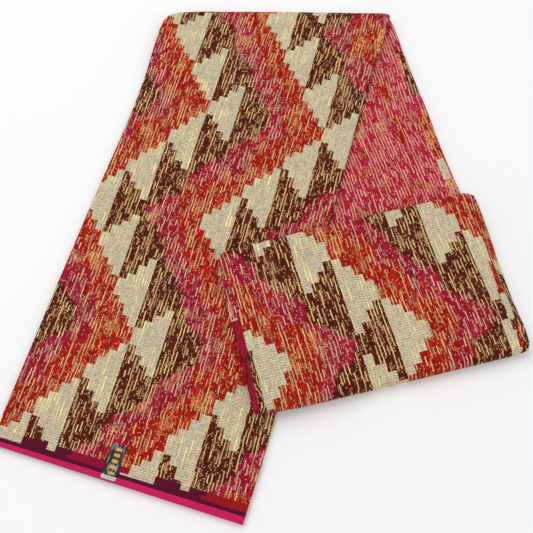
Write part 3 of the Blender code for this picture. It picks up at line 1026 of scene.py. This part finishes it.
def edge_mask(place, bounds):
    """Whether a place lies in one of the patches beside the folded edges."""
    side, near, far, start, end = bounds
    distance = place.from_left if side == "left" else place.from_right
    column = (place.across / FUZZ_COLUMN).floor()
    uneven = (chance(column, 0.0, near + far) - 0.5) * EDGE_UNEVEN
    along = place.along + uneven
    return (distance > near) * (distance < far) * (along > start) * (along < end)


def colour_areas(place):
    """Fields that are 1 inside each kind of area and 0 outside it."""
    plain = (place.along > PLAIN_FIELD[0]) * (place.along < PLAIN_FIELD[1])
    cream, brown = flags(place)
    red = red_bands(place, plain)
    areas = {"plain": plain, "red": red, "cream": cream * plain.rest(),
             "brown": brown * plain.rest(), "gold": plain * 0.0, "bare": plain * 0.0}
    for *bounds, kinds in EDGE_PATCHES:
        mask = edge_mask(place, bounds)
        for kind in ("cream", "brown", "red"):
            areas[kind] = areas[kind] * mask.rest()
        for kind in kinds.split():
            if kind in areas:
                areas[kind] = areas[kind] + mask
    return areas


def lane_threads(place, kind, share):
    """Broken threads, one to a lane: where they lie, how bright each piece is, and the painted shadow
    beside them.
    """
    offset, width, length, seed = kind
    spot = place.across / LANE + offset
    lane = spot.floor()
    piece_length = chance(lane, 0.0, seed) * PIECE_SPREAD + length
    start = chance(lane, 0.0, seed + 1.0) * START_SPREAD
    piece = ((place.along + start) / piece_length).floor()
    wander = (chance(lane, piece, seed + 2.0) - 0.5) * THREAD_WANDER
    distance = (spot - lane - 0.5 + wander).size() * LANE
    there = chance(lane, piece, seed + 3.0) < share
    bright = chance(lane, piece, seed + 4.0)
    edge = width / 2.0
    body = ramp(distance, edge - THREAD_BLUR, edge + THREAD_BLUR).rest()
    # Painted shadow: the ground darkens in a rim just outside each thread
    thread_shadow = ramp(distance, edge + SHADOW_RIM[0], edge + SHADOW_RIM[1]).rest()
    return there * body, bright, there * thread_shadow


def cell_chance(place, kind):
    """A random number for each cell of a column, where each column starts elsewhere."""
    width, length, spread, start_seed, seed = kind
    column = (place.across / width).floor()
    start = chance(column, 0.0, start_seed) * spread
    return chance(column, ((place.along + start) / length).floor(), seed)


def metal_dots(place, share):
    """Round dots of metal, strung along fine columns."""
    across = place.across / DOT_COLUMN
    column = across.floor()
    along = place.along / DOT_LENGTH + chance(column, 0.0, DOT_SEED)
    piece = along.floor()
    aside = across - column - 0.5
    ahead = along - piece - 0.5
    there = chance(column, piece, DOT_SEED + 1.0) < share
    return there * ramp(aside * aside + ahead * ahead, DOT_CORE, DOT_RIM).rest()


class Threads:
    """The metallic threads, dots and curls, and the dark flecks and painted shadow beside the threads
    that darken the ground.
    """

    def __init__(self, place, areas):
        rich = ramp(place.richness, *RICH_RANGE)
        share = rich * RICH_THREADS + areas["plain"] * PLAIN_THREADS + GOLD_SHARE
        self.gold, bright, thread_shadow = lane_threads(place, GOLD_THREAD, share)
        self.fine, fine_bright, fine_thread_shadow = lane_threads(place, FINE_THREAD, FINE_SHARE)
        dot = metal_dots(place, rich * RICH_DOTS + DOT_SHARE)
        fleck = cell_chance(place, FLECK_CELLS) < FLECK_SHARE
        curl = ramp((place.curling - 0.5).size(), *CURL_RANGE).rest()
        self.curl = curl * rich.either(areas["gold"]) * areas["brown"].between(BROWN_CURLS)
        metal = self.gold * bright.between(GOLD_BRIGHT)
        metal = metal.either(self.fine * fine_bright.between(FINE_BRIGHT))
        metal = metal.either(dot * DOT_BRIGHT).either(self.curl * CURL_BRIGHT)
        pale, pale_bright, _ = lane_threads(place, PALE_THREAD, PALE_SHARE)
        glow = ramp(place.glow, *GLOW_RANGE)
        pale_metal = pale * pale_bright.between(PALE_BRIGHT) * glow.between(GLOW_BRIGHT)
        self.metal = metal * areas["cream"].rest() + pale_metal * areas["cream"]
        # The painted shadow beside the threads, together with the flecks, darkens the ground
        thread_shadow = thread_shadow.either(fine_thread_shadow * FINE_SHADOW) * SHADOW_DARKNESS
        self.dark = (fleck * FLECK_DARKNESS + thread_shadow) * areas["plain"].between(PLAIN_DARKNESS)


def weave_grain(place):
    """The wavering fine rows of the weave, from -1 to 1."""
    sway = (place.across * GRAIN_PACE[0] + place.warp * GRAIN_WARP).sine()
    return (place.along * GRAIN_PACE[1] + sway).sine()


def thread_colours(place, areas, threads, grain):
    """Colours of the ground and of the metal over it, with tints that vary from thread to thread."""
    tint = cell_chance(place, TINT_CELLS)
    plain = areas["plain"]
    magenta = blend(tint * plain.between(PINK_TINT) + plain * PLAIN_PINK, MAGENTA, PINK)
    ground = blend(areas["red"], magenta, blend(tint * ORANGE_TINT, RED, ORANGE))
    gilt = blend(areas["red"], MAGENTA_GOLD, RED_GOLD)
    ground = blend(areas["brown"], ground, blend(tint * BROWN_TINT, BROWN, BROWN_LIGHT))
    gilt = blend(areas["brown"], gilt, BROWN_GOLD)
    # The ground darkens towards DEEP in the flecks and in the painted shadow beside the threads
    ground = blend(threads.dark, ground, DEEP)
    gilt = blend(threads.curl * CURL_YELLOW, gilt, YELLOW_GOLD)
    speckle_column = (place.across / SPECKLE_COLUMN).floor()
    speckle = chance(speckle_column, (place.along / SPECKLE_LENGTH).floor(), SPECKLE_SEED)
    # The cream darkens towards CREAM_SHADE evenly, along the weave's rows and in random speckles:
    # partly the threads' own uneven tone, partly painted shade between the weave's ridges
    cream_darkening = grain * CREAM_GRAIN + CREAM_EVEN_DARKENING + speckle * CREAM_SPECKLE
    ground = blend(areas["cream"], ground, blend(cream_darkening, CREAM, CREAM_SHADE))
    gilt = blend(areas["cream"], gilt, PALE_GOLD)
    return ground, gilt


def with_selvedge(place, areas, ground, metal):
    """The ground's colour and the metal, with the selvedge's band, line and bare margin."""
    hem = place.along - (place.across * -1.0 + SELVEDGE_WIDTH) * SELVEDGE_DRIFT
    margin = hem < SELVEDGE_MARGIN
    metal = metal * margin.rest() * areas["bare"].rest()
    bare = blend(ramp(place.across, *RED_MARGIN), MARGIN_PINK, MARGIN_RED)
    bare = blend(areas["brown"], bare, SELVEDGE_DARK)
    ground = blend(margin * areas["cream"].rest(), ground, bare)
    ground = blend(hem < SELVEDGE_LINE, ground, SELVEDGE_DARK)
    ground = blend(hem < SELVEDGE_BAND, ground, SELVEDGE_PINK)
    return ground, metal


def brocade():
    """The woven cloth: its colours, broken metallic threads, ribs and selvedge."""
    material, tree, shader = new_material("brocade")
    place = Place(tree)
    areas = colour_areas(place)
    threads = Threads(place, areas)
    grain = weave_grain(place)
    ground, gilt = thread_colours(place, areas, threads, grain)
    ground, metal = with_selvedge(place, areas, ground, threads.metal)
    tree.links.new(blend(metal, ground, gilt), shader.inputs["Base Color"])
    tree.links.new((metal * METAL_SHINE).socket, shader.inputs["Metallic"])
    tree.links.new(metal.between(CLOTH_ROUGHNESS).socket, shader.inputs["Roughness"])
    shader.inputs["Specular IOR Level"].default_value = CLOTH_SPECULAR
    ribs = (place.along * RIB_PACE[1]).sine() * RIB_WEIGHTS[1]
    ribs = ribs + (place.across * RIB_PACE[0]).sine() * RIB_WEIGHTS[0]
    raised = threads.gold * GOLD_RELIEF + threads.fine * FINE_RELIEF
    raised = raised + ribs * RIB_RELIEF + grain * GRAIN_RELIEF
    relief(tree, shader, raised, CLOTH_BUMP, CLOTH_BUMP_DEPTH)
    return material


# The label's plain gold blocks and bright foot, in millimetres from its middle
BLOCK_PITCH = 5.2
BLOCK_SHIFT = 1.6
BLOCK_HALF = 1.5
BLOCK_WIDTH = 5.4
BLOCK_ASIDE = 0.8
BLOCK_UNEVEN = 1.3
BLOCK_FIRST = -10.5
BLOCK_LAST = 12.5
FOOT_TOP = -11.6

# The foil's colours and its streaks of painted sheen, and how bright, metallic and rough it is
FOIL_DARK = shown(20, 20, 20)
FOIL_SHINE = shown(128, 132, 128)
FOIL_GOLD = shown(198, 156, 84)
FOIL_FOOT = shown(206, 208, 186)
RAGGED_CLOUD = (1.6, 1.6, 2.0, 21.0)
SHEEN_STREAK_CLOUD = (1.6, 9.0, 4.0, 3.0)
SHEEN_STREAK_RANGE = (0.50, 0.66)
GOLD_SHEEN_STREAKS = (0.4, 1.1)
FOOT_SHEEN_STREAKS = (0.1, 1.2)
FOIL_METAL = (0.5, 0.8)
FOIL_ROUGHNESS = (0.2, 0.5)
FOIL_BUMP = 0.5
FOIL_BUMP_DEPTH = 0.0002


def foil():
    """The label's foil: dark with streaks of painted silvery sheen, with uneven gold blocks in a
    column and a bright foot that brighten along the same streaks.
    """
    material, tree, shader = new_material("foil")
    source = tree.nodes.new("ShaderNodeTexCoord").outputs["Object"]
    ragged = (cloudy(tree, source, RAGGED_CLOUD) - 0.5) * BLOCK_UNEVEN
    sheen_streak = cloudy(tree, source, SHEEN_STREAK_CLOUD)
    across, along = in_millimetres(tree, source)
    off_block = ((along + ragged + BLOCK_SHIFT) % BLOCK_PITCH - BLOCK_PITCH / 2.0).size()
    off_middle = (across + ragged - BLOCK_ASIDE).size()
    block = (off_block < BLOCK_HALF) * (off_middle < BLOCK_WIDTH / 2.0)
    block = block * (along > BLOCK_FIRST) * (along < BLOCK_LAST)
    foot = along < FOOT_TOP
    # Painted sheen: the dark foil turns silvery along the streaks, and the gold blocks and the foot
    # brighten along them
    dark = blend(ramp(sheen_streak, *SHEEN_STREAK_RANGE), FOIL_DARK, FOIL_SHINE)
    colour = blend(block * sheen_streak.between(GOLD_SHEEN_STREAKS), dark, FOIL_GOLD)
    colour = blend(foot * sheen_streak.between(FOOT_SHEEN_STREAKS), colour, FOIL_FOOT)
    tree.links.new(colour, shader.inputs["Base Color"])
    tree.links.new(block.either(foot).between(FOIL_METAL).socket, shader.inputs["Metallic"])
    tree.links.new(sheen_streak.between(FOIL_ROUGHNESS).socket, shader.inputs["Roughness"])
    relief(tree, shader, block + sheen_streak, FOIL_BUMP, FOIL_BUMP_DEPTH)
    return material


# The floor and the light: each lamp's name, place, size and power
WHITE = (1.0, 1.0, 1.0, 1.0)
FLOOR_REACH = 6.0
FLOOR_DROP = 0.0002
FLOOR_ROUGHNESS = 0.9
FLOOR_SPECULAR = 0.1
SKY_STRENGTH = 0.62
LAMPS = [
    ("main_light", (-0.7, 0.9, 1.9), 1.6, 17.0),
    ("front_light", (0.9, -1.2, 1.7), 1.4, 6.0),
]


def pale_floor():
    """The plain pale floor that the cloth lies on."""
    reach = FLOOR_REACH
    mesh = bpy.data.meshes.new("floor")
    corners = [(-reach, -reach, 0.0), (reach, -reach, 0.0), (reach, reach, 0.0), (-reach, reach, 0.0)]
    mesh.from_pydata(corners, [], [(0, 1, 2, 3)])
    material, _, shader = new_material("floor")
    shader.inputs["Base Color"].default_value = WHITE
    shader.inputs["Roughness"].default_value = FLOOR_ROUGHNESS
    shader.inputs["Specular IOR Level"].default_value = FLOOR_SPECULAR
    mesh.materials.append(material)
    floor = bpy.data.objects.new("floor", mesh)
    floor.location = (0.0, 0.0, -FLOOR_DROP)
    bpy.context.scene.collection.objects.link(floor)


def soft_light(name, position, size, power):
    """A large soft lamp that points at the cloth."""
    lamp = bpy.data.lights.new(name, "AREA")
    lamp.size = size
    lamp.energy = power
    light = bpy.data.objects.new(name, lamp)
    light.location = position
    light.rotation_mode = "QUATERNION"
    light.rotation_quaternion = (-Vector(position)).to_track_quat("-Z", "Y")
    bpy.context.scene.collection.objects.link(light)


def studio():
    """Soft light all round, with a little more from above and behind."""
    world = bpy.data.worlds.new("studio")
    bpy.context.scene.world = world
    world.use_nodes = True
    background = world.node_tree.nodes["Background"]
    background.inputs["Color"].default_value = WHITE
    background.inputs["Strength"].default_value = SKY_STRENGTH
    for lamp in LAMPS:
        soft_light(*lamp)
    bpy.context.scene.view_settings.view_transform = "Standard"


def camera(middle):
    """The camera, at the photograph's angle, aimed at a point of the drawn plan."""
    data = bpy.data.cameras.new("camera")
    data.sensor_width = SENSOR
    data.lens = LENS
    data.clip_start = NEAREST
    view = bpy.data.objects.new("camera", data)
    back = Vector((0.0, -math.cos(CAMERA_ELEVATION), math.sin(CAMERA_ELEVATION)))
    view.location = CAMERA_TARGET - middle + back * CAMERA_DISTANCE
    view.rotation_mode = "QUATERNION"
    view.rotation_quaternion = (-back).to_track_quat("-Z", "Y")
    bpy.context.scene.collection.objects.link(view)
    bpy.context.scene.camera = view


cloth, plan_middle = cloth_piece()
camera(plan_middle)
cloth.data.materials.append(brocade())
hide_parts("folded_cloth")
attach(cloth, "root")

label = label_piece(plan_middle)
label.data.materials.append(foil())
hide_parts("foil_label")
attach(label, "root")

pale_floor()
studio()
